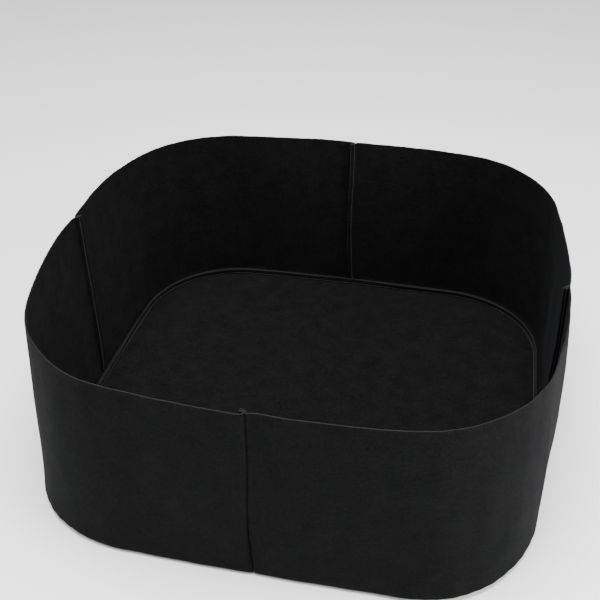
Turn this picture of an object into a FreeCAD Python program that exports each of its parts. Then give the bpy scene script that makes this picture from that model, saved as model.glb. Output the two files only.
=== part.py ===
"""Square felt grow bag with large round corners, standing open.

Four L-shaped felt walls are sewn to each other at the middle of each side, and to
a flat felt base. Every seam has its allowance turned to the inside.

Millimetres, +Z up. The origin is the middle of the underside. The front is -Y.
The bag is the same in its four quarters, so one quarter is built and mirrored.
"""

import FreeCAD, Part

import math
import os

# Plan of the bag: each side is a shallow arc, and each corner is a tighter one.
# The foot is squarer than the rim, and about 3% longer round, so the walls taper upwards.
HEIGHT = 350.0
RIM = {"half_width": 450.0, "side_radius": 1200.0, "corner_radius": 233.0}
FOOT = {"half_width": 442.0, "side_radius": 6000.0, "corner_radius": 215.0}
TUCK_RADIUS = 12.0  # the foot of the wall rolls under by this much

# Cloth and thread
FELT = 2.5
ALLOWANCE = 12.0  # felt from a seam line to its raw edge
THREAD = 0.8
STITCH_INSET = 4.0  # from the wall to the thread of an upright seam
BASE_STITCH_HEIGHT = 5.0  # of the thread of the base seam above the ground
TRIM_GAP = 0.5  # between the end of an upright allowance and the thread of the base seam

BASE_SEAM_INSET = TUCK_RADIUS + 2 * FELT  # from the foot of the wall in to the base seam
UPRIGHT_SEAM_END = BASE_SEAM_INSET - FELT - THREAD - TRIM_GAP  # inset of its lower end
LIP_TOP = FELT + ALLOWANCE  # top edge of the base seam's allowance
UP = FreeCAD.Vector(0, 0, 1)
ORIGIN = FreeCAD.Vector(0, 0, 0)


def quarter_plan(plan, inset, z):
    """The +X, +Y quarter of a plan as a closed outline at height z, moved in by inset."""
    half = plan["half_width"] - inset
    side_radius = plan["side_radius"] - inset
    corner_radius = plan["corner_radius"] - inset
    side_centre = half - side_radius  # on the X axis, and the same on Y for the other side
    apart = side_radius - corner_radius
    corner_centre = (side_centre + math.sqrt(2 * apart**2 - side_centre**2)) / 2
    join_angle = math.atan2(corner_centre, corner_centre - side_centre)

    def on_side(angle):
        return (side_centre + side_radius * math.cos(angle), side_radius * math.sin(angle))

    def point(x, y):
        return FreeCAD.Vector(x, y, z)

    mid_side = on_side(join_angle / 2)
    join = on_side(join_angle)
    corner = corner_centre + corner_radius * math.sqrt(0.5)
    edges = [
        Part.LineSegment(point(0, 0), point(half, 0)),
        Part.Arc(point(half, 0), point(*mid_side), point(*join)),
        Part.Arc(point(*join), point(corner, corner), point(join[1], join[0])),
        Part.Arc(point(join[1], join[0]), point(mid_side[1], mid_side[0]), point(0, half)),
        Part.LineSegment(point(0, half), point(0, 0)),
    ]
    return Part.Wire([edge.toShape() for edge in edges])


def quarter_space(inset):
    """A quarter of the solid space inside the outer surface, moved in by inset."""
    foot = quarter_plan(FOOT, inset, inset)
    rim = quarter_plan(RIM, inset, HEIGHT)
    space = Part.makeLoft([foot, rim], True, True)
    if inset >= TUCK_RADIUS:
        return space
    curved_foot = [
        edge
        for edge in space.Edges
        if edge.BoundBox.ZMax < inset + 1 and not isinstance(edge.Curve, Part.Line)
    ]
    return space.makeFillet(TUCK_RADIUS - inset, curved_foot)


def base_prism(inset, bottom, top):
    """A quarter of an upright solid on the plan of the foot, moved in by inset."""
    face = Part.Face(quarter_plan(FOOT, inset, bottom))
    return face.extrude(UP * (top - bottom))


def base_ring(outer_inset, inner_inset, bottom, top):
    """A quarter of an upright ring that follows the plan of the foot."""
    return base_prism(outer_inset, bottom, top).cut(base_prism(inner_inset, bottom, top))


def seam_strip(outer_inset, inner_inset, start, end, top):
    """A strip of an upright seam, down the back wall and in under its rolled foot.

    It lies between two insets of the wall, and from x = start to x = end.
    """
    zone = quarter_space(outer_inset).cut(quarter_space(inner_inset))
    zone = zone.cut(base_prism(UPRIGHT_SEAM_END, 0, LIP_TOP + FELT))
    slab = Part.makeBox(end - start, RIM["half_width"], top, FreeCAD.Vector(start, 0, 0))
    return zone.common(slab)


def across_diagonal(shape):
    """The mirror image that swaps X and Y."""
    return shape.mirror(ORIGIN, FreeCAD.Vector(1, -1, 0).normalize())


def in_quarter(shape, x_sign, y_sign):
    """A shape of the +X, +Y quarter, moved to another quarter by mirroring."""
    if x_sign < 0:
        shape = shape.mirror(ORIGIN, FreeCAD.Vector(1, 0, 0))
    if y_sign < 0:
        shape = shape.mirror(ORIGIN, FreeCAD.Vector(0, 1, 0))
    return shape


def all_round(shape):
    """The four quarters of a shape as one solid."""
    quarters = [in_quarter(shape, x, y) for x in (1, -1) for y in (1, -1)]
    return quarters[0].fuse(quarters[1:]).removeSplitter()


def wall_panel_quarter():
    """A wall panel, with its foot rolled under and an allowance turned in at each edge."""
    tube = quarter_space(0).cut(quarter_space(FELT)).cut(base_prism(BASE_SEAM_INSET, 0, FELT))
    lip = base_ring(BASE_SEAM_INSET - FELT, BASE_SEAM_INSET, 0, LIP_TOP)
    allowance = seam_strip(FELT, FELT + ALLOWANCE, 0, FELT, HEIGHT)
    return tube.fuse([lip, allowance, across_diagonal(allowance)]).removeSplitter()


def base_panel_quarter():
    """The base, with its allowance turned up at the edge."""
    flat = base_prism(BASE_SEAM_INSET, 0, FELT)
    return flat.fuse(base_ring(BASE_SEAM_INSET, BASE_SEAM_INSET + FELT, 0, LIP_TOP))


def upright_thread_quarter():
    """The thread on the +X face of the back seam's allowance."""
    inset = FELT + STITCH_INSET
    return seam_strip(inset, inset + THREAD, FELT, FELT + THREAD, HEIGHT - FELT)


def build():
    """Every piece of the bag, by name."""
    wall = wall_panel_quarter()
    pieces = {
        "wall_panel_front_left": in_quarter(wall, -1, -1),
        "wall_panel_front_right": in_quarter(wall, 1, -1),
        "wall_panel_back_right": wall,
        "wall_panel_back_left": in_quarter(wall, -1, 1),
        "base_panel": all_round(base_panel_quarter()),
    }

    thread = upright_thread_quarter()
    side_thread = across_diagonal(thread)
    pieces["front_seam_needle_thread"] = in_quarter(thread, 1, -1)
    pieces["front_seam_bobbin_thread"] = in_quarter(thread, -1, -1)
    pieces["back_seam_needle_thread"] = thread
    pieces["back_seam_bobbin_thread"] = in_quarter(thread, -1, 1)
    pieces["right_seam_needle_thread"] = side_thread
    pieces["right_seam_bobbin_thread"] = in_quarter(side_thread, 1, -1)
    pieces["left_seam_needle_thread"] = in_quarter(side_thread, -1, 1)
    pieces["left_seam_bobbin_thread"] = in_quarter(side_thread, -1, -1)

    heights = (BASE_STITCH_HEIGHT, BASE_STITCH_HEIGHT + THREAD)
    inner_face = BASE_SEAM_INSET + FELT
    outer_face = BASE_SEAM_INSET - FELT
    inner_thread = base_ring(inner_face, inner_face + THREAD, *heights)
    outer_thread = base_ring(outer_face - THREAD, outer_face, *heights)
    pieces["base_seam_needle_thread"] = all_round(inner_thread)
    pieces["base_seam_bobbin_thread"] = all_round(outer_thread)
    return pieces


os.makedirs("parts", exist_ok=True)
for node, shape in build().items():
    shape.exportStep("parts/" + node + ".step")
    box = shape.BoundBox
    print(
        f"{node}: {len(shape.Solids)} solid, valid {shape.isValid()}, "
        f"{shape.Volume / 1000:.1f} cm3, "
        f"{box.XLength:.1f} x {box.YLength:.1f} x {box.ZLength:.1f} mm, foot at {box.ZMin:.2f}"
    )
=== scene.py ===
"""Square felt grow bag with large round corners, standing open and empty.

Metres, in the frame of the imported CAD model. Every panel is a sheet of felt laid over
one surface: the wall runs down from the rim, rolls under at its foot and turns up
again as the allowance of the base seam. Threads are tubes along the seams.

A place round the bag is given in quarter turns, anticlockwise as seen from above, from
the middle of the right side. So the upright seams are at 0, 1, 2 and 3.
"""

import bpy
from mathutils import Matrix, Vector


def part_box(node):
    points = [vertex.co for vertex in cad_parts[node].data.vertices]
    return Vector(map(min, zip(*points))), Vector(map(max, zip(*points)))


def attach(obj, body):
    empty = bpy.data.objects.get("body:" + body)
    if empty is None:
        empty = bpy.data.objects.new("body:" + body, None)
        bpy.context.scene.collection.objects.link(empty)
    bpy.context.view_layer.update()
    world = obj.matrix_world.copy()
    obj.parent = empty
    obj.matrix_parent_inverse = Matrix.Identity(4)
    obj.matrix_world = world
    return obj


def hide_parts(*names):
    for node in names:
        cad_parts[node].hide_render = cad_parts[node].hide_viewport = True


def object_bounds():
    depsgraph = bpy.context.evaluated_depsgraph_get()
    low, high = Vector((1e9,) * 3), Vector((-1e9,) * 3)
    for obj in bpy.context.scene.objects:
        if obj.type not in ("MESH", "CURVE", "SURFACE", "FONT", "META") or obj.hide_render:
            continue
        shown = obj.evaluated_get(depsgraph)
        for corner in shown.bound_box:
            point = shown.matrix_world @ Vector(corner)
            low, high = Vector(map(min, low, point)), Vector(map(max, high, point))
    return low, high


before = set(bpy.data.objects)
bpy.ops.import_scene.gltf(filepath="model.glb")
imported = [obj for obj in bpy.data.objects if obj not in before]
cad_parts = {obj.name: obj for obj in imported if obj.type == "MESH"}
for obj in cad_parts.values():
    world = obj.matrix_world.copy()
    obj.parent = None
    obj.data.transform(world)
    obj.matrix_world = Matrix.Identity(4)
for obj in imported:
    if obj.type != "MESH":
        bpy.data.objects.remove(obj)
cad_box = [list(corner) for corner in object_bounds()]

import math

import bmesh
import bpy
import numpy as np
from mathutils import Quaternion, Vector, noise

# ---------------------------------------------------------------- driving dimensions
FELT = 0.0025
HALF_FELT = FELT / 2
TUCK = 0.012  # radius of the roll at the foot of the wall
FOLD = 0.0022  # radius of a fold at a seam, in the middle of the felt
ALLOWANCE = 0.012
SEAM_GAP = 0.00005  # half of the air between two layers sewn together
THREAD = 0.0008
STITCH = 0.005  # pitch of the stitches
STITCH_DEPTH = 0.0060  # of an upright seam's stitches behind the wall's middle surface
BASE_STITCH_HEIGHT = 0.0054
HEIGHT = cad_box[1][2]
# Plans of the rim and of the foot: half of the width, and the radii of sides and corners.
RIM = {"half": cad_box[1][0], "side": 1.200, "corner": 0.233}
FOOT = {"half": 0.442, "side": 6.000, "corner": 0.215}
BASE_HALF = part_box("base_panel")[1][0]  # from the middle of the bag to the base seam
LIP_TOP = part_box("base_panel")[1][2]  # upper edge of the base seam's allowance

LAYER = HALF_FELT + SEAM_GAP  # from a seam plane to the middle of a layer
BASE_INSET = FOOT["half"] - BASE_HALF  # from the foot of the wall in to the base seam
TUCK_MIDDLE = TUCK - HALF_FELT  # radius of the roll in the middle of the felt
FLAT_END = BASE_INSET - LAYER - FOLD  # how far in the fold at the base seam starts
FOLD_LENGTH = FOLD * math.pi / 2

# In quarter turns, the middle of each side and the start of each corner's panel.
SIDES = {"right": 0, "back": 1, "left": 2, "front": 3}
CORNERS = {"back_right": 0, "back_left": 1, "front_left": 2, "front_right": 3}

# ---------------------------------------------------------------- how this bag is uneven
# The rim's long waves: times round the bag, and size as a sine and as a cosine.
RIM_WAVES = ((1, 0.0040, -0.0125), (2, 0.0024, 0.0), (3, 0.0045, -0.0048))
RIM_RIPPLES = ((7, 0.0008, 0.6), (11, 0.0006, 2.1))  # times round, size, start
RIM_CUT = ((0.00014, (61, 3, 5)), (0.00010, (173, 2, 9)))  # size, and what uneven_wave needs
RIM_DROP = 0.002  # from the CAD model's rim to this one's average height

# Where the wall is pushed out: place, size, spread in quarter turns, and the height that
# the push reaches up from the foot, or None where it is greatest at half height.
BELLY = 0.0015  # all round, at half height
BULGES = (
    (3.83, 0.0085, 0.14, None),  # front part of the right side
    (3.41, 0.0080, 0.14, 0.09),  # foot of the front right corner
    (2.49, 0.0045, 0.10, 0.05),  # foot of the front left corner
)

# Undulations of the wall: size, lump size in x, y and z, and seed.
HELD = 0.05  # up to this height the base holds the wall, less and less
FREE = 0.12  # from this height up the wall sways, more and more
SWAY_POWER = 1.5
UNDULATIONS = (
    (0.0026, (0.11, 0.11, 0.30), 1),
    (0.0011, (0.045, 0.045, 0.13), 2),
    (0.0003, (0.016, 0.016, 0.02), 3),
)
SWAY = (0.0050, (0.22, 0.22, 0.9), 4)
SEED_STEP = (7.31, 3.17, 5.77)  # how far in lumps each seed moves the noise

# How the upright seams bow sideways: side, size, and the height and spread of the bow.
SEAM_BOWS = (
    ("front", -0.0075, 0.115, 0.11),
    ("right", 0.0035, 0.210, 0.12),
    ("back", 0.0040, 0.160, 0.10),
    ("left", -0.0045, 0.230, 0.13),
)
SKEW_REACH = 0.10  # how far from a seam the cloth is skewed with it

# How the upright seams are drawn in: a share for each, and the depth and reach of each hollow.
SEAM_PULLS = {"front": 1.0, "right": 0.3, "back": 0.5, "left": 0.6}
SEAM_HOLLOWS = ((0.0040, 0.0065), (0.0016, 0.030))
FOOT_PULL = 0.45  # share of it that is left at the foot
STITCH_DIMPLE, DIMPLE_REACH = 0.00012, 0.004

# At the front the right-hand panel lies behind the left-hand one, less so near the foot.
STEP = 0.0130
STEP_START, STEP_REACH = 0.012, 0.090  # how far from the seam it builds up and fades out
STEP_FROM, STEP_RISE = 0.05, 0.16  # the height where it starts, and how soon it is full
SHOULDER, SHOULDER_PLACE, SHOULDER_WIDTH = 0.0010, -0.012, 0.010  # on the left-hand panel

# Soft upright creases beside the front right corner: place, size and width.
CORNER_CREASES = ((3.57, 0.0008, 0.016), (3.68, 0.0010, 0.013), (3.80, 0.0006, 0.012))
CREASE_LEAN = 0.012  # sideways for each metre up, from CREASE_MIDDLE
CREASE_MIDDLE = 0.15
CREASE_RISE = 0.10  # the height where they reach their full size
CREASE_FADE = 0.5  # share of it that they lose by the rim

# Puckers where the foot is eased round the base: size, and what uneven_wave needs.
CORNER_PUCKERS = (0.0004, (127, 2.2, 6))
CORNER_SPREAD = 0.22  # in quarter turns
ALL_PUCKERS = (0.0003, (43, 1.7, 3, 1.0))
PUCKER_HEIGHT = 0.026

# The upright allowances, which lean over against the wall: in FLAP_WAYS 1 is anticlockwise.
FLAP_TILT = 1.45  # how far, in radians
FLAP_CURL = 0.0026  # how far along they bend over
FLAP_WAYS = {SIDES["right"]: -1, SIDES["back"]: 1, SIDES["left"]: -1, SIDES["front"]: -1}
# Their tilt sways up the wall: size, pitch, shift from one seam to the next, and start.
FLAP_SWAY = ((0.09, 11.0, 1.9, 0.0), (0.06, 27.0, 1.0, math.pi / 2))
FLAP_STEPS = 12
FLAP_SPLAY = 0.0009  # how far their raw edges stand apart beyond the stitches
FLAP_FOOT = 0.7  # share of their depth that is left at the foot of the wall
FLAP_TAPER = 0.85  # share of the way down where they start to narrow
FLAP_RUN_OUT = 0.3  # last share of the roll at the foot, where they end
SEWN_SHARE = 0.69  # share of their depth below which their threads stop
THREAD_FIRST_ROW = 2  # row of the wall where their threads start
# Which face of each has the needle thread: 1 is anticlockwise of the seam.
NEEDLE_FACES = {"right": -1, "back": -1, "left": 1, "front": 1}
# At a hole the middle of a thread is so far under the felt's face, and between holes it rises.
HOLE_DEPTH, THREAD_RISE = 0.0010, 0.0014

# The base lies on the ground and only lifts off it. Its lumps: size in x, y and z, share, seed.
BASE_LUMPS = (((0.26, 0.17, 1), 1.0, 11), ((0.09, 0.12, 1), 0.5, 12))
BASE_LIFT = 0.0060  # where the lumps add up to 1
BASE_RAISE = 0.10  # added to the lumps
# Its creases across x and across y: size, place, and the size and pitch of their wander.
BASE_CREASES = ((0.0016, 0.004, 0.006, 7), (0.0013, -0.006, 0.005, 8))
BASE_CREASE_WIDTH = 0.006
LIFT_MARGIN, CREASE_MARGIN = 0.12, 0.05  # share of the base along its edge that stays down
LIP_SWAY = 0.0016  # of the upper edge of the base seam's allowance
LIP_WAVES = ((6, 1.0, 1.0), (15, 0.6, 0.3))  # times round, share, start

# ---------------------------------------------------------------- how finely it is modelled
RIM_ROWS = (0.0, 0.0008, 0.0018, 0.0035)  # close together, as shares of the way down
WALL_ROWS, FIRST_WALL_ROW = 98, 0.0065  # the even rows, and where they start
TUCK_ROWS, FOLD_ROWS, LIP_ROWS = 14, 4, 5
FLAP_COLUMNS, FOLD_COLUMNS = 8, 5
SEAM_COLUMNS = (0, 0.0008, 0.0017, 0.0028, 0.0042, 0.006, 0.0085)  # distances from a fold
MAIN_COLUMNS, FIRST_MAIN_COLUMN = 236, 0.0115  # the even columns, and where they start
BASE_CELLS = 84  # from the middle of the base to its edge
BASE_FOLD_ROWS, BASE_LIP_ROWS = 5, 6
STITCH_POINTS, THREAD_SIDES = 8, 6
BASE_THREAD_POINTS = 1600


# ---------------------------------------------------------------- shape of the bag
def plan_parts(plan):
    """Side centre, corner centre, angle of their join and length of a quarter."""
    side_centre = plan["half"] - plan["side"]
    apart = plan["side"] - plan["corner"]
    corner_centre = (side_centre + math.sqrt(2 * apart**2 - side_centre**2)) / 2
    join = math.atan2(corner_centre, corner_centre - side_centre)
    length = 2 * plan["side"] * join + plan["corner"] * (math.pi / 2 - 2 * join)
    return side_centre, corner_centre, join, length


QUARTER = plan_parts(RIM)[3]


def plan_point(plan, turn):
    """Point on a plan at a place round it, and the direction of its outward normal."""
    side_centre, corner_centre, join, length = plan_parts(plan)
    quarter = np.floor(turn)
    along = (turn - quarter) * length
    side_length = plan["side"] * join
    first = along < side_length
    last = along > length - side_length
    angle = np.where(
        first,
        along / plan["side"],
        np.where(
            last,
            math.pi / 2 - (length - along) / plan["side"],
            join + (along - side_length) / plan["corner"],
        ),
    )
    radius = np.where(first | last, plan["side"], plan["corner"])
    centre_x = np.where(first, side_centre, np.where(last, 0.0, corner_centre))
    centre_y = np.where(first, 0.0, np.where(last, side_centre, corner_centre))
    x = centre_x + radius * np.cos(angle)
    y = centre_y + radius * np.sin(angle)
    spin = quarter * math.pi / 2
    c, s = np.cos(spin), np.sin(spin)
    return x * c - y * s, x * s + y * c, angle + spin


def bell(x, middle, width):
    """A bump of height 1 at middle."""
    return np.exp(-(((x - middle) / width) ** 2))


def cloud(points, size, seed):
    """Smooth noise between -1 and 1 at each point, with lumps of the given size."""
    shift = Vector([seed * step for step in SEED_STEP])
    scaled = np.asarray(points) / np.asarray(size)
    values = [noise.noise(Vector(p) + shift) for p in scaled.reshape(-1, 3)]
    return np.array(values).reshape(scaled.shape[:-1])


def uneven_wave(turn, times, swing, swing_times, start=0.0):
    """A wave so many times round the bag, whose pitch swings."""
    t = turn * math.pi / 2
    return np.sin(times * t + swing * np.sin(swing_times * t + start))


def rim_height(turn):
    """Height of the rim: it dips at the right, rises at the left and is cut unevenly."""
    t = turn * math.pi / 2
    height = HEIGHT - RIM_DROP
    for times, sine, cosine in RIM_WAVES:
        height = height + sine * np.sin(times * t) + cosine * np.cos(times * t)
    for times, size, start in RIM_RIPPLES:
        height = height + size * np.sin(times * t + start)
    for size, wave in RIM_CUT:
        height = height + size * uneven_wave(turn, *wave)
    return height


def steps_to_end(count):
    """So many equal steps from 0 to 1, without the 0."""
    return np.linspace(0, 1, count + 1)[1:]


def profile_rows():
    """Rows of the wall from the rim down, under and up: kind, and how far along it."""
    rows = [("wall", d) for d in RIM_ROWS]
    rows += [("wall", d) for d in np.linspace(FIRST_WALL_ROW, 1.0, WALL_ROWS)]
    rows += [("tuck", a) for a in steps_to_end(TUCK_ROWS)]
    rows += [("flat", 1.0)]
    rows += [("fold", a) for a in steps_to_end(FOLD_ROWS)]
    rows += [("lip", a) for a in steps_to_end(LIP_ROWS)]
    return rows


ROWS = profile_rows()


def profile(kind, far, rim_z):
    """Share of the rim plan, inset, height and tilt of the inward normal of a row."""
    zero = np.zeros_like(rim_z)
    if kind == "wall":
        share = 1 - far
        return share + zero, HALF_FELT + zero, TUCK + (rim_z - TUCK) * share, zero
    if kind == "tuck":
        a = far * math.pi / 2
        inset = TUCK - TUCK_MIDDLE * math.cos(a)
        return zero, inset + zero, TUCK - TUCK_MIDDLE * math.sin(a) + zero, a + zero
    if kind == "flat":
        return zero, FLAT_END + zero, HALF_FELT + zero, math.pi / 2 + zero
    if kind == "fold":
        a = far * math.pi / 2
        inset = FLAT_END + FOLD * math.sin(a)
        height = HALF_FELT + FOLD * (1 - math.cos(a))
        return zero, inset + zero, height + zero, math.pi / 2 + a + zero
    low = HALF_FELT + FOLD
    return zero, FLAT_END + FOLD + zero, low + (LIP_TOP - low) * far + zero, math.pi + zero


def row_depth(kind, far):
    """Distance of a row down the cloth from the rim."""
    lengths = {
        "wall": HEIGHT - TUCK,
        "tuck": TUCK_MIDDLE * math.pi / 2,
        "flat": FLAT_END - TUCK,
        "fold": FOLD_LENGTH,
        "lip": LIP_TOP - HALF_FELT - FOLD,
    }
    depth = 0.0
    for name, length in lengths.items():
        if name == kind:
            return depth + length * far
        depth += length


def from_seam(turn, side):
    """Signed distance along the cloth from the seam of a side, anticlockwise."""
    return ((turn - SIDES[side] + 2) % 4 - 2) * QUARTER


def drift(turn, z):
    """How far the cloth is skewed sideways, anticlockwise, round each upright seam."""
    shift = np.zeros_like(z)
    for side, size, middle, spread in SEAM_BOWS:
        away = from_seam(turn, side)
        shift += size * bell(z, middle, spread) * bell(away, 0, SKEW_REACH)
    return shift


def push(turn, z):
    """How far the wall is pushed out of its plain shape, before any creases."""
    belly = np.sin(math.pi * np.clip(z / HEIGHT, 0, 1))
    out = BELLY * belly
    for place, size, spread, reach in BULGES:
        away = (turn - place + 2) % 4 - 2
        upright = belly if reach is None else bell(z, 0, reach)
        out += size * bell(away, 0, spread) * upright
    return out


def seam_pull(turn, z, hold):
    """How far outwards the seams move the wall: they draw it in, and their stitches dimple it."""
    out = np.zeros_like(z)
    for side, pull in SEAM_PULLS.items():
        near = np.abs(from_seam(turn, side))
        hollow = sum(depth * np.exp(-near / reach) for depth, reach in SEAM_HOLLOWS)
        out -= pull * hollow * (FOOT_PULL + (1 - FOOT_PULL) * hold)
        stitches = np.cos(2 * math.pi * z / STITCH) * np.exp(-near / DIMPLE_REACH)
        out += STITCH_DIMPLE * stitches * hold
    return out


def front_step(turn, z, hold):
    """How far outwards the two front panels lie: the right-hand one is set back."""
    away = from_seam(turn, "front")
    past = np.clip(away, 0, None)
    behind = (1 - np.exp(-past / STEP_START)) * np.exp(-past / STEP_REACH)
    shoulder = SHOULDER * bell(away, SHOULDER_PLACE, SHOULDER_WIDTH) * hold
    return shoulder - STEP * behind * np.clip((z - STEP_FROM) / STEP_RISE, 0, 1)


def corner_creases(turn, z, free):
    """How far the soft creases beside the front right corner stand out."""
    out = np.zeros_like(z)
    for place, size, width in CORNER_CREASES:
        lean = CREASE_LEAN * (z - CREASE_MIDDLE)
        crease = size * bell((turn - place) * QUARTER, lean, width)
        out += crease * np.clip(z / CREASE_RISE, 0, 1) * (1 - CREASE_FADE * free)
    return out


def swell(turn, points, z):
    """Undulations and creases of the wall, and how its seams pull it in."""
    hold = np.clip(z / HELD, 0, 1)
    free = np.clip((z - FREE) / (HEIGHT - FREE), 0, 1)
    size, lumps, seed = SWAY
    out = size * cloud(points, lumps, seed) * free**SWAY_POWER
    for size, lumps, seed in UNDULATIONS:
        out += size * cloud(points, lumps, seed) * hold
    return out + seam_pull(turn, z, hold) + front_step(turn, z, hold) + corner_creases(turn, z, free)


def gathers(turn, z):
    """Small puckers where the foot of the wall is eased round the base."""
    size, wave = CORNER_PUCKERS
    out = size * bell(turn % 1, 0.5, CORNER_SPREAD) * uneven_wave(turn, *wave)
    size, wave = ALL_PUCKERS
    out += size * uneven_wave(turn, *wave)
    return out * bell(z, 0, PUCKER_HEIGHT)


def surface(turn, row):
    """Middle surface of the wall and its inward normal, for an array of places."""
    kind, far = row
    share, inset, z, tilt = profile(kind, far, rim_height(turn))
    place = turn + drift(turn, z) / QUARTER
    rim_x, rim_y, rim_angle = plan_point(RIM, place)
    foot_x, foot_y, foot_angle = plan_point(FOOT, place)
    angle = foot_angle + (rim_angle - foot_angle) * share
    out_x, out_y = np.cos(angle), np.sin(angle)
    x = foot_x + (rim_x - foot_x) * share
    y = foot_y + (rim_y - foot_y) * share
    plain = np.stack([x, y, z], axis=-1)
    under = {"wall": 0.0, "tuck": far}.get(kind, 1.0)  # how far round the roll at the foot
    out = (swell(turn, plain, z) + gathers(turn, z)) * math.cos(under * math.pi / 2)
    shift = push(turn, z) * (1 - under) - inset
    normal = np.stack([-np.cos(tilt) * out_x, -np.cos(tilt) * out_y, np.sin(tilt)], axis=-1)
    point = np.stack([x + shift * out_x, y + shift * out_y, z], axis=-1)
    return point - normal * out[..., None], normal


# ---------------------------------------------------------------- meshes
def add_mesh(name, points, faces, coordinates=None):
    """A smooth-shaded object, with the coordinates given for its points as its UV map."""
    mesh = bpy.data.meshes.new(name)
    mesh.from_pydata([tuple(p) for p in points], [], faces)
    if coordinates is not None:
        layer = mesh.uv_layers.new(name="cloth")
        corners = np.empty(len(mesh.loops), dtype=np.int32)
        mesh.loops.foreach_get("vertex_index", corners)
        layer.data.foreach_set("uv", np.asarray(coordinates)[corners].astype(np.float32).ravel())
    mesh.update()
    mesh.shade_smooth()
    piece = bpy.data.objects.new(name, mesh)
    bpy.context.scene.collection.objects.link(piece)
    return piece


def grid_faces(rows, columns, keep=None):
    """Quads between rows of points that are stored one row after another."""
    faces = []
    for i in range(rows - 1):
        for j in range(columns - 1):
            if keep is None or keep(i, j):
                corner = i * columns + j
                faces.append((corner, corner + 1, corner + columns + 1, corner + columns))
    return faces


def thicken(piece):
    """Give a sheet its thickness, with the second material on its cut edges, and apply it."""
    solid = piece.modifiers.new("felt", "SOLIDIFY")
    solid.thickness = FELT
    solid.offset = 0
    solid.use_quality_normals = True
    solid.material_offset_rim = 1
    apply_modifiers(piece)


def apply_modifiers(piece):
    """Replace a piece's mesh by what its modifiers make of it."""
    graph = bpy.context.evaluated_depsgraph_get()
    mesh = bpy.data.meshes.new_from_object(
        piece.evaluated_get(graph), preserve_all_data_layers=True, depsgraph=graph
    )
    piece.modifiers.clear()
    old = piece.data
    piece.data = mesh
    bpy.data.meshes.remove(old)


def drop_loose(piece):
    """Remove points that no face uses."""
    edit = bmesh.new()
    edit.from_mesh(piece.data)
    loose = [v for v in edit.verts if not v.link_faces]
    bmesh.ops.delete(edit, geom=loose, context="VERTS")
    edit.to_mesh(piece.data)
    edit.free()


# ---------------------------------------------------------------- wall panels
def column_list():
    """Columns of a wall panel: kind, how far along it, and which end's seam it belongs to."""
    start = LAYER + FOLD
    flap = [("flap", d) for d in np.linspace(ALLOWANCE + HALF_FELT, FOLD, FLAP_COLUMNS + 1)[:-1]]
    fold = [("fold", a) for a in np.linspace(1, 0, FOLD_COLUMNS + 1)[:-1]]
    near = [start + d for d in SEAM_COLUMNS]
    first_middle = start + FIRST_MAIN_COLUMN
    middle = list(np.linspace(first_middle, QUARTER - first_middle, MAIN_COLUMNS))
    far = [QUARTER - d for d in reversed(near)]
    first = [(kind, value, 0) for kind, value in flap + fold]
    main = [("main", s, None) for s in near + middle + far]
    second = [(kind, value, 1) for kind, value in reversed(flap + fold)]
    return first + main + second


COLUMNS = column_list()


def flap_size(kind, far):
    """How much of its full depth an upright allowance has in a row."""
    if kind == "wall":
        narrow = float(np.clip((far - FLAP_TAPER) / (1 - FLAP_TAPER), 0, 1))
        return 1.0 - (1 - FLAP_FOOT) * narrow**2
    if kind == "tuck":
        return FLAP_FOOT * min(1.0, (1 - far) / FLAP_RUN_OUT)
    return 0.0


def flap_path(turn, height, depth):
    """Where the middle of an upright allowance is, sideways and inwards, and its tilt.

    It stands on the seam and leans over to one side, as soil presses it.
    """
    seam = turn % 4
    sway = sum(
        size * math.sin(pitch * height + shift * seam + start)
        for size, pitch, shift, start in FLAP_SWAY
    )
    most = FLAP_WAYS[seam] * (FLAP_TILT + sway)
    across, inward, tilt = 0.0, 0.0, 0.0
    for i in range(FLAP_STEPS):
        travel = depth * (i + 0.5) / FLAP_STEPS
        tilt = most * (1 - math.exp(-max(travel - FOLD, 0) / FLAP_CURL))
        across += math.sin(tilt) * depth / FLAP_STEPS
        inward += math.cos(tilt) * depth / FLAP_STEPS
    return across, inward, tilt


def seam_frame(turn, row):
    """Middle point, direction along the rim and inward normal, on a seam plane."""
    point, normal = surface(np.array([float(turn)]), row)
    angle = turn * math.pi / 2
    along = np.array([-math.sin(angle), math.cos(angle), 0.0])
    return point[0], along, normal[0]


def seam_point(turn, row, side, kind, value, proud=0.0):
    """A point in the fold or flap of a panel, on one side of a seam plane.

    proud moves it out from the middle of the felt. Also gives the way out of the felt.
    """
    point, along, normal = seam_frame(turn, row)
    size = flap_size(*row)
    if kind == "fold":
        a = value * math.pi / 2
        across = LAYER + FOLD * (1 - math.sin(a))
        depth = FOLD * (1 - math.cos(a)) * size
        return point + along * side * across + normal * depth, along * side
    across, inward, tilt = flap_path(turn, point[2], value * size)
    away = along * math.cos(tilt) - normal * math.sin(tilt)
    splay = FLAP_SPLAY * max(value - STITCH_DEPTH, 0) / (ALLOWANCE - STITCH_DEPTH)
    layer = side * (LAYER + proud + splay * size)
    return point + along * across + normal * inward + away * layer, away * side


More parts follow.
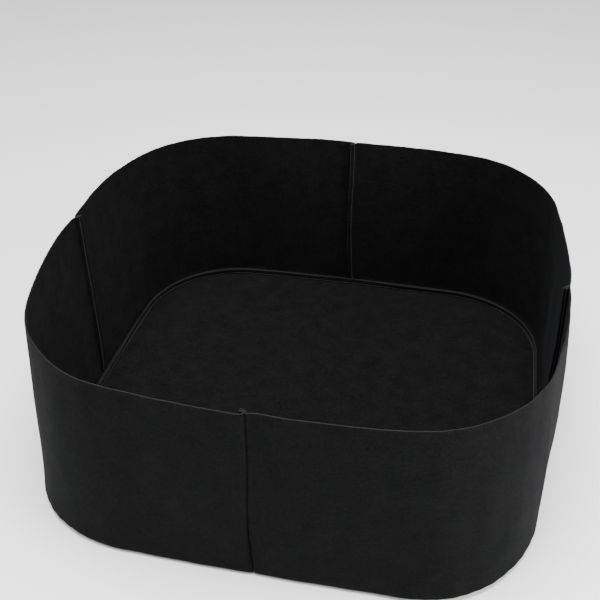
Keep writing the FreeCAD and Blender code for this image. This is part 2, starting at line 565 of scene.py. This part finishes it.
def wall_panel(name, quarter):
    """One corner of the wall, from seam to seam, as a sheet that bends inwards at its ends."""
    main = [i for i, (kind, _, _) in enumerate(COLUMNS) if kind == "main"]
    turns = np.array([quarter + COLUMNS[i][1] / QUARTER for i in main])
    points = np.zeros((len(ROWS), len(COLUMNS), 3))
    cloth = np.zeros((len(ROWS), len(COLUMNS), 2))
    for r, row in enumerate(ROWS):
        points[r, main] = surface(turns, row)[0]
        cloth[r, main, 0] = turns * QUARTER
        cloth[r, :, 1] = row_depth(*row)
        for c, (kind, value, end) in enumerate(COLUMNS):
            if kind == "main":
                continue
            side = 1 if end == 0 else -1
            points[r, c] = seam_point(quarter + end, row, side, kind, value)[0]
            past = value * FOLD_LENGTH if kind == "fold" else FOLD_LENGTH + value - FOLD
            cloth[r, c, 0] = (quarter + end) * QUARTER + side * (LAYER + FOLD - past)
    flap_rows = [flap_size(*row) > 0 for row in ROWS]
    flap_columns = [kind == "flap" for kind, _, _ in COLUMNS]

    def keep(i, j):
        in_flap = flap_columns[j] or flap_columns[j + 1]
        return not in_flap or (flap_rows[i] and flap_rows[i + 1])

    faces = grid_faces(len(ROWS), len(COLUMNS), keep)
    piece = add_mesh(name, points.reshape(-1, 3), faces, cloth.reshape(-1, 2))
    drop_loose(piece)
    return piece


# ---------------------------------------------------------------- base panel
def lip_wave(turn, height):
    """Inward lean of the base seam's allowance, the same for both of its layers."""
    t = turn * math.pi / 2
    swing = sum(share * np.sin(times * t + start) for times, share, start in LIP_WAVES)
    return LIP_SWAY * swing * np.clip(height / LIP_TOP, 0, 1) ** 2


def base_point(turn, share):
    """A point of the flat base: share is 0 in the middle and 1 at the start of the fold."""
    x, y, angle = plan_point(FOOT, turn)
    inset = BASE_INSET + LAYER + FOLD
    return share * (x - inset * np.cos(angle)), share * (y - inset * np.sin(angle))


def base_lift(x, y, share):
    """Soft ripples and creases of the base."""
    flat = np.stack([x, y, np.zeros_like(x)], axis=-1)
    ripple = sum(part * cloud(flat, size, seed) for size, part, seed in BASE_LUMPS)
    margin = np.clip((1 - share) / LIFT_MARGIN, 0, 1)
    lift = BASE_LIFT * np.clip(ripple + BASE_RAISE, 0, None) * margin
    margin = np.clip((1 - share) / CREASE_MARGIN, 0, 1)
    for (size, place, wander, pitch), across, along in zip(BASE_CREASES, (x, y), (y, x)):
        middle = place + wander * np.sin(pitch * along)
        lift += size * bell(across, middle, BASE_CREASE_WIDTH) * margin
    return lift


def base_grid():
    """A square grid over the flat base: place round the bag and share of the way out."""
    n = BASE_CELLS
    i, j = np.meshgrid(np.arange(-n, n + 1), np.arange(-n, n + 1), indexing="ij")
    ring = np.maximum(np.abs(i), np.abs(j))
    safe = np.maximum(ring, 1)
    turn = np.where(
        np.abs(i) >= np.abs(j),
        np.where(i > 0, j / safe * 0.5, 2 - j / safe * 0.5),
        np.where(j > 0, 1 - i / safe * 0.5, 3 + i / safe * 0.5),
    )
    return turn % 4, ring / n


def base_edge():
    """Numbers of the points along the edge of the base's grid, anticlockwise."""
    n = BASE_CELLS

    def at(a, b):
        return (a + n) * (2 * n + 1) + b + n

    right_and_back = [at(n, b) for b in range(-n, n)] + [at(a, n) for a in range(n, -n, -1)]
    left_and_front = [at(-n, b) for b in range(n, -n, -1)] + [at(a, -n) for a in range(-n, n)]
    return right_and_back + left_and_front


def base_panel():
    """The base as one sheet: a square grid bent to the plan, with its edge turned up."""
    turn, share = base_grid()
    x, y = base_point(turn, share)
    z = HALF_FELT + base_lift(x, y, share)
    points = np.stack([x, y, z], axis=-1).reshape(-1, 3)
    cloth = np.stack([x, y], axis=-1).reshape(-1, 2)
    faces = grid_faces(2 * BASE_CELLS + 1, 2 * BASE_CELLS + 1)
    before = base_edge()
    around = turn.reshape(-1)[before]
    edge_x, edge_y, angle = plan_point(FOOT, around)
    rings = [("fold", a) for a in steps_to_end(BASE_FOLD_ROWS)]
    rings += [("lip", a) for a in steps_to_end(BASE_LIP_ROWS)]
    for kind, far in rings:
        if kind == "fold":
            a = far * math.pi / 2
            inset = BASE_INSET + LAYER + FOLD * (1 - math.sin(a))
            height = HALF_FELT + FOLD * (1 - math.cos(a))
            past = FOLD_LENGTH * far
        else:
            inset = BASE_INSET + LAYER
            height = HALF_FELT + FOLD + (LIP_TOP - HALF_FELT - FOLD) * far
            past = FOLD_LENGTH + height - HALF_FELT - FOLD
        lean = inset + lip_wave(around, height)
        ring_x, ring_y = edge_x - lean * np.cos(angle), edge_y - lean * np.sin(angle)
        flat = BASE_INSET + LAYER + FOLD - past  # its inset if the sheet lay flat
        flat_x, flat_y = edge_x - flat * np.cos(angle), edge_y - flat * np.sin(angle)
        after = list(range(len(points), len(points) + len(before)))
        heights = np.full_like(ring_x, height)
        points = np.concatenate([points, np.stack([ring_x, ring_y, heights], axis=-1)])
        cloth = np.concatenate([cloth, np.stack([flat_x, flat_y], axis=-1)])
        for k in range(len(before)):
            m = (k + 1) % len(before)
            faces.append((before[k], before[m], after[m], after[k]))
        before = after
    return add_mesh("base_panel_felt", points, faces, cloth)


# ---------------------------------------------------------------- threads
def thread_tube(name, path, lift, closed=False):
    """One thread of a lockstitch: it floats over the felt and dips into it at each hole.

    path is points on the face of the felt, and lift the direction away from the felt.
    """
    path, lift = np.asarray(path), np.asarray(lift)
    if closed:
        path = np.concatenate([path, path[:1]])
        lift = np.concatenate([lift, lift[:1]])
    travel = np.concatenate([[0], np.cumsum(np.linalg.norm(np.diff(path, axis=0), axis=1))])
    steps = round(travel[-1] / STITCH) * STITCH_POINTS
    count = steps + (0 if closed else 1)
    along = np.arange(count) / steps * travel[-1]
    middle = np.stack([np.interp(along, travel, path[:, k]) for k in range(3)], axis=-1)
    away = np.stack([np.interp(along, travel, lift[:, k]) for k in range(3)], axis=-1)
    phase = np.arange(count) / STITCH_POINTS * math.pi
    rise = THREAD_RISE * np.sqrt(np.abs(np.sin(phase))) - HOLE_DEPTH
    middle = middle + away * rise[:, None]
    if closed:
        tangent = np.roll(middle, -1, axis=0) - np.roll(middle, 1, axis=0)
    else:
        tangent = np.gradient(middle, axis=0)
    tangent /= np.linalg.norm(tangent, axis=1)[:, None]
    across = np.cross(tangent, away)
    across /= np.linalg.norm(across, axis=1)[:, None]
    up = np.cross(across, tangent)
    rings, cloth = [], []
    for k in range(THREAD_SIDES):
        a = 2 * math.pi * k / THREAD_SIDES
        rings.append(middle + (across * math.cos(a) + up * math.sin(a)) * THREAD / 2)
        cloth.append(np.stack([along / THREAD, np.full(count, k / THREAD_SIDES)], axis=-1))
    points = np.stack(rings, axis=1).reshape(-1, 3)
    cloth = np.stack(cloth, axis=1).reshape(-1, 2)
    return add_mesh(name, points, tube_faces(count, closed), cloth)


def tube_faces(count, closed):
    """Faces of a tube of so many rings, which joins up with itself or has flat ends."""
    n = THREAD_SIDES
    faces = []
    for i in range(count if closed else count - 1):
        here, after = i * n, (i + 1) % count * n
        for k in range(n):
            m = (k + 1) % n
            faces.append((here + k, here + m, after + m, after + k))
    if not closed:
        faces.append(tuple(range(n - 1, -1, -1)))
        faces.append(tuple((count - 1) * n + k for k in range(n)))
    return faces


def upright_thread(name, turn, side):
    """A thread down one face of an upright seam's allowance."""
    path, lift = [], []
    for row in ROWS[THREAD_FIRST_ROW:]:
        if flap_size(*row) >= SEWN_SHARE:
            point, away = seam_point(turn, row, side, "flap", STITCH_DEPTH, HALF_FELT)
            path.append(point)
            lift.append(away)
    return thread_tube(name, path, lift)


def base_thread(name, way):
    """A thread round the base seam: way is 1 on its inner face and -1 on its outer face."""
    turn = np.linspace(0, 4, BASE_THREAD_POINTS, endpoint=False)
    x, y, angle = plan_point(FOOT, turn)
    out_x, out_y = np.cos(angle), np.sin(angle)
    inset = BASE_INSET + way * (LAYER + HALF_FELT) + lip_wave(turn, BASE_STITCH_HEIGHT)
    heights = np.full_like(x, BASE_STITCH_HEIGHT)
    path = np.stack([x - inset * out_x, y - inset * out_y, heights], axis=-1)
    lift = np.stack([-way * out_x, -way * out_y, np.zeros_like(x)], axis=-1)
    return thread_tube(name, path, lift, closed=True)


# ---------------------------------------------------------------- materials
FELT_DARK = (0.0015, 0.0015, 0.0016, 1)
FELT_PALE = (0.0072, 0.0072, 0.0076, 1)
FELT_SHEEN = 0.012
SHEEN_TINT = (0.86, 0.90, 1.0, 1)
LINT = (0.05, 0.05, 0.048, 1)
# The cut edges are coloured paler than the felt's faces: a painted highlight where the edges catch
# the light.
EDGE_HIGHLIGHT_DARK = (0.0026, 0.0026, 0.0028, 1)
EDGE_HIGHLIGHT_PALE = (0.0100, 0.0100, 0.0105, 1)
EDGE_SHEEN = 0.04
THREAD_DARK = (0.0040, 0.0040, 0.0043, 1)
THREAD_PALE = (0.0130, 0.0130, 0.0138, 1)
FLOOR_PAINT = (0.90, 0.90, 0.90, 1)
FLOOR_SHADE = 0.985  # how dark the paint's darkest patches are beside its own colour

# Fibres: the angle on the cloth in degrees, and their length and width.
WEB_FIBRES = ((4, 0.0060, 0.0006), (38, 0.0045, 0.0005), (-47, 0.0045, 0.0005))
DRAG_FIBRES = (1, 0.026, 0.0024)
# Noise: scale for each metre, detail and roughness.
TUFTS = (330.0, 2.0, 0.55)
GRAIN = (170.0, 2.0, 0.6)
BROAD = (26.0, 4.0, 0.6)
EDGE_FUZZ = (900.0, 5.0, 0.7)
EDGE_CLUMPS = (120.0, 3.0, 0.6)
# Scattered points: scale for each metre and randomness.
NEEDLE_MARKS = (480.0, 0.75)
LINT_SPOTS = (70.0, 1.0)
# What part of each noise's range is used.
WEB_RANGE = (0.50, 0.74)
MARK_RANGE = (0.0, 0.38)
LINT_RANGE = (0.018, 0.035)
TONE_RANGE = (0.52, 0.84)
EDGE_RANGE = (0.12, 0.42)
# The shares that make up the felt's tone and its relief.
TONE_SHARES = {"web": 0.24, "tuft": 0.28, "grain": 0.30, "broad": 0.26, "drag": 0.30}
RELIEF_SHARES = {"web": 0.5, "marks": 0.3, "tuft": 0.5, "drag": 0.3}
LINT_SHARE = 0.30
# Roughness between the fibres and on them, or between a thread's plies and on them.
FELT_ROUGHNESS = (0.97, 0.82)
THREAD_ROUGHNESS = (0.62, 0.42)
# Relief: strength, and height in metres.
FELT_RELIEF = (0.5, 0.0006)
EDGE_RELIEF = (0.9, 0.0006)
THREAD_RELIEF = (0.6, 0.0002)


class Nodes:
    """Adds nodes to a material's tree in few words."""

    def __init__(self, name):
        self.material = bpy.data.materials.new(name)
        self.material.use_nodes = True
        self.tree = self.material.node_tree
        self.shader = self.tree.nodes["Principled BSDF"]

    def add(self, kind, inputs=(), **settings):
        """A new node with its settings made and its inputs set or linked."""
        made = self.tree.nodes.new("ShaderNode" + kind)
        for key, value in settings.items():
            setattr(made, key, value)
        for key, value in dict(inputs).items():
            self.set(made.inputs[key], value)
        return made

    def set(self, socket, value):
        """Link a socket to another one, or give it a value."""
        if isinstance(value, bpy.types.NodeSocket):
            self.tree.links.new(value, socket)
        else:
            socket.default_value = value

    def shade(self, **inputs):
        """Set inputs of the shader, named with _ for a space."""
        for key, value in inputs.items():
            self.set(self.shader.inputs[key.replace("_", " ")], value)

    def math(self, operation, a, b=0.0):
        return self.add("Math", {0: a, 1: b}, operation=operation).outputs[0]

    def total(self, parts, shares):
        """The sum of the named parts, each times its share."""
        result = 0.0
        for name, share in shares.items():
            result = self.math("ADD", result, self.math("MULTIPLY", parts[name], share))
        return result

    def spread(self, value, low, high, to_low=0.0, to_high=1.0):
        """The range from low to high, stretched to the range from to_low to to_high."""
        made = self.add("MapRange", {0: value, 1: low, 2: high, 3: to_low, 4: to_high})
        return made.outputs[0]

    def mix(self, factor, a, b):
        made = self.add("Mix", data_type="RGBA")
        self.set(made.inputs["Factor"], factor)
        self.set(made.inputs[6], a)
        self.set(made.inputs[7], b)
        return made.outputs[2]

    def noise(self, place, scale, detail, roughness):
        """Smooth noise."""
        inputs = {"Vector": place, "Scale": scale, "Detail": detail, "Roughness": roughness}
        return self.add("TexNoise", inputs).outputs["Fac"]

    def cells(self, place, scale, randomness):
        """Distance to the nearest of many scattered points."""
        inputs = {"Vector": place, "Scale": scale, "Randomness": randomness}
        return self.add("TexVoronoi", inputs).outputs["Distance"]

    def fibres(self, cloth, degrees, length, width):
        """Fine fibres that lie at an angle on the cloth, as noise stretched along them."""
        turn, scale = (0, 0, math.radians(degrees)), (1 / length, 1 / width, 1)
        turned = self.add("Mapping", {"Vector": cloth, "Rotation": turn, "Scale": scale})
        return self.noise(turned.outputs[0], 1.0, 3.0, 0.6)

    def bump(self, height, strength, distance):
        """Relief of the surface."""
        inputs = {"Height": height, "Strength": strength, "Distance": distance}
        self.shade(Normal=self.add("Bump", inputs).outputs[0])


def felt_material():
    """Needle-punched felt: a web of fibres with needle marks, faint streaks and some lint."""
    n = Nodes("black_felt")
    cloth = n.add("UVMap", uv_map="cloth").outputs[0]
    along, slant, other = (n.fibres(cloth, *fibres) for fibres in WEB_FIBRES)
    web = n.math("MAXIMUM", along, n.math("MAXIMUM", slant, other))
    parts = {
        "web": n.spread(web, *WEB_RANGE),
        "tuft": n.noise(cloth, *TUFTS),
        "grain": n.noise(cloth, *GRAIN),
        "broad": n.noise(cloth, *BROAD),
        "drag": n.fibres(cloth, *DRAG_FIBRES),
        "marks": n.spread(n.cells(cloth, *NEEDLE_MARKS), *MARK_RANGE),
    }
    tone = n.total(parts, TONE_SHARES)
    colour = n.mix(n.spread(tone, *TONE_RANGE), FELT_DARK, FELT_PALE)
    speck = n.spread(n.cells(cloth, *LINT_SPOTS), *LINT_RANGE, LINT_SHARE, 0.0)
    n.shade(
        Base_Color=n.mix(speck, colour, LINT),
        Roughness=n.spread(parts["web"], 0.0, 1.0, *FELT_ROUGHNESS),
        Specular_IOR_Level=0.06,
        Sheen_Weight=n.spread(tone, *TONE_RANGE, 0.5 * FELT_SHEEN, 1.5 * FELT_SHEEN),
        Sheen_Roughness=0.42,
        Sheen_Tint=SHEEN_TINT,
    )
    n.bump(n.total(parts, RELIEF_SHARES), *FELT_RELIEF)
    return n.material


def cut_edge_material():
    """The raw cut edge of the felt: loose fibres, coloured a little paler than its faces as a
    painted highlight where it catches the light.
    """
    n = Nodes("felt_cut_edge")
    place = n.add("TexCoord").outputs["Object"]
    fuzz = n.noise(place, *EDGE_FUZZ)
    tone = n.math("MULTIPLY", fuzz, n.noise(place, *EDGE_CLUMPS))
    n.shade(
        Base_Color=n.mix(n.spread(tone, *EDGE_RANGE), EDGE_HIGHLIGHT_DARK, EDGE_HIGHLIGHT_PALE),
        Roughness=n.spread(tone, 0.1, 0.4, 0.85, 1.0),
        Specular_IOR_Level=0.1,
        Sheen_Weight=EDGE_SHEEN,
        Sheen_Roughness=0.5,
    )
    n.bump(fuzz, *EDGE_RELIEF)
    return n.material


def thread_material():
    """Twisted polyester thread: slanting plies with a slight gloss."""
    n = Nodes("sewing_thread")
    cloth = n.add("UVMap", uv_map="cloth").outputs[0]
    slant = n.add("Mapping", {"Vector": cloth, "Scale": (0.8, 2.0, 1)})
    parts = n.add("SeparateXYZ", {"Vector": slant.outputs[0]})
    turns = n.math("ADD", parts.outputs[0], parts.outputs[1])
    ply = n.math("SINE", n.math("MULTIPLY", turns, 2 * math.pi))
    n.shade(
        Base_Color=n.mix(n.spread(ply, -1, 1), THREAD_DARK, THREAD_PALE),
        Roughness=n.spread(ply, -1, 1, *THREAD_ROUGHNESS),
        Sheen_Weight=0.2,
    )
    n.bump(ply, *THREAD_RELIEF)
    return n.material


def floor_material():
    """One colour with the faint unevenness of a painted floor."""
    n = Nodes("floor_paint")
    place = n.add("TexCoord").outputs["Object"]
    grain = n.add("TexNoise", {"Vector": place, "Scale": 3.0, "Detail": 4.0}).outputs["Fac"]
    shade = tuple(FLOOR_SHADE * c for c in FLOOR_PAINT[:3]) + (1,)
    n.shade(Base_Color=n.mix(grain, shade, FLOOR_PAINT), Roughness=0.7)
    return n.material


# ---------------------------------------------------------------- camera, light, floor
CAMERA_TARGET = (-0.0434, 0.0916, 0.175)
CAMERA_DISTANCE = 1.946
CAMERA_AZIMUTH, CAMERA_ELEVATION, CAMERA_ROLL = 13.2, 34.5, -0.85  # degrees
CAMERA_LENS, SENSOR = 60.07, 36.0  # millimetres
CAMERA_REACH = 50

# Soft square lights: name, place, size and watts.
LIGHTS = (
    ("top", (0.0, -0.4, 3.0), 1.8, 225),
    ("left", (-2.5, -0.8, 1.3), 1.4, 37),
    ("right", (2.3, -0.75, 1.1), 1.2, 88),
)
LIGHT_TARGET = (0, 0, 0.15)
SURROUNDINGS = 0.62  # strength of the white light from all round
FLOOR_HALF = 6  # half of its width
FLOOR_DROP = 0.0002  # how far it lies below the bag


def add_camera():
    """A camera that looks down on the bag from a little to the right of its front."""
    data = bpy.data.cameras.new("camera")
    data.lens = CAMERA_LENS
    data.sensor_width = SENSOR
    data.clip_end = CAMERA_REACH
    camera = bpy.data.objects.new("camera", data)
    bpy.context.scene.collection.objects.link(camera)
    a, e = math.radians(CAMERA_AZIMUTH), math.radians(CAMERA_ELEVATION)
    back = Vector((math.sin(a) * math.cos(e), -math.cos(a) * math.cos(e), math.sin(e)))
    camera.location = Vector(CAMERA_TARGET) + back * CAMERA_DISTANCE
    roll = Quaternion((0, 0, 1), math.radians(CAMERA_ROLL))
    camera.rotation_mode = "QUATERNION"
    camera.rotation_quaternion = back.to_track_quat("Z", "Y") @ roll
    bpy.context.scene.camera = camera


def add_light(name, place, size, watts):
    """A soft square area light, aimed at the bag."""
    data = bpy.data.lights.new(name, "AREA")
    data.size = size
    data.energy = watts
    lamp = bpy.data.objects.new(name, data)
    lamp.location = place
    lamp.rotation_mode = "QUATERNION"
    lamp.rotation_quaternion = (Vector(place) - Vector(LIGHT_TARGET)).to_track_quat("Z", "Y")
    bpy.context.scene.collection.objects.link(lamp)


def add_studio():
    """Pale floor, even pale surroundings and three soft lights."""
    r = FLOOR_HALF
    floor = add_mesh("floor", [(-r, -r, 0), (r, -r, 0), (r, r, 0), (-r, r, 0)], [(0, 1, 2, 3)])
    floor.location.z = -FLOOR_DROP
    floor.data.materials.append(floor_material())
    world = bpy.data.worlds.new("studio")
    world.use_nodes = True
    background = world.node_tree.nodes["Background"]
    background.inputs["Color"].default_value = (1, 1, 1, 1)
    background.inputs["Strength"].default_value = SURROUNDINGS
    bpy.context.scene.world = world
    for light in LIGHTS:
        add_light(*light)


# ---------------------------------------------------------------- the bag
def finish_piece(piece, materials, node):
    """Materials, body and CAD node of a finished piece."""
    for material in materials:
        piece.data.materials.append(material)
    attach(piece, "root")
    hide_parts(node)


def add_walls(felt, edge):
    """The four panels of the wall."""
    for name, quarter in CORNERS.items():
        panel = wall_panel(name + "_wall_felt", quarter)
        finish_piece(panel, [felt, edge], "wall_panel_" + name)
        thicken(panel)


def add_base(felt, edge):
    """The base, inside the walls' roll."""
    base = base_panel()
    finish_piece(base, [felt, edge], "base_panel")
    thicken(base)


def add_threads(thread):
    """The needle thread and the bobbin thread of every seam."""
    for name, turn in SIDES.items():
        needle_face = NEEDLE_FACES[name]
        for kind, face in (("needle", needle_face), ("bobbin", -needle_face)):
            node = name + "_seam_" + kind + "_thread"
            stitches = upright_thread(node + "_stitches", turn, face)
            finish_piece(stitches, [thread], node)
    for kind, way in (("needle", 1), ("bobbin", -1)):
        node = "base_seam_" + kind + "_thread"
        finish_piece(base_thread(node + "_stitches", way), [thread], node)


def add_bag():
    """The materials of the bag and every piece of it."""
    felt = felt_material()
    edge = cut_edge_material()
    thread = thread_material()
    add_walls(felt, edge)
    add_base(felt, edge)
    add_threads(thread)


add_camera()
add_studio()
add_bag()
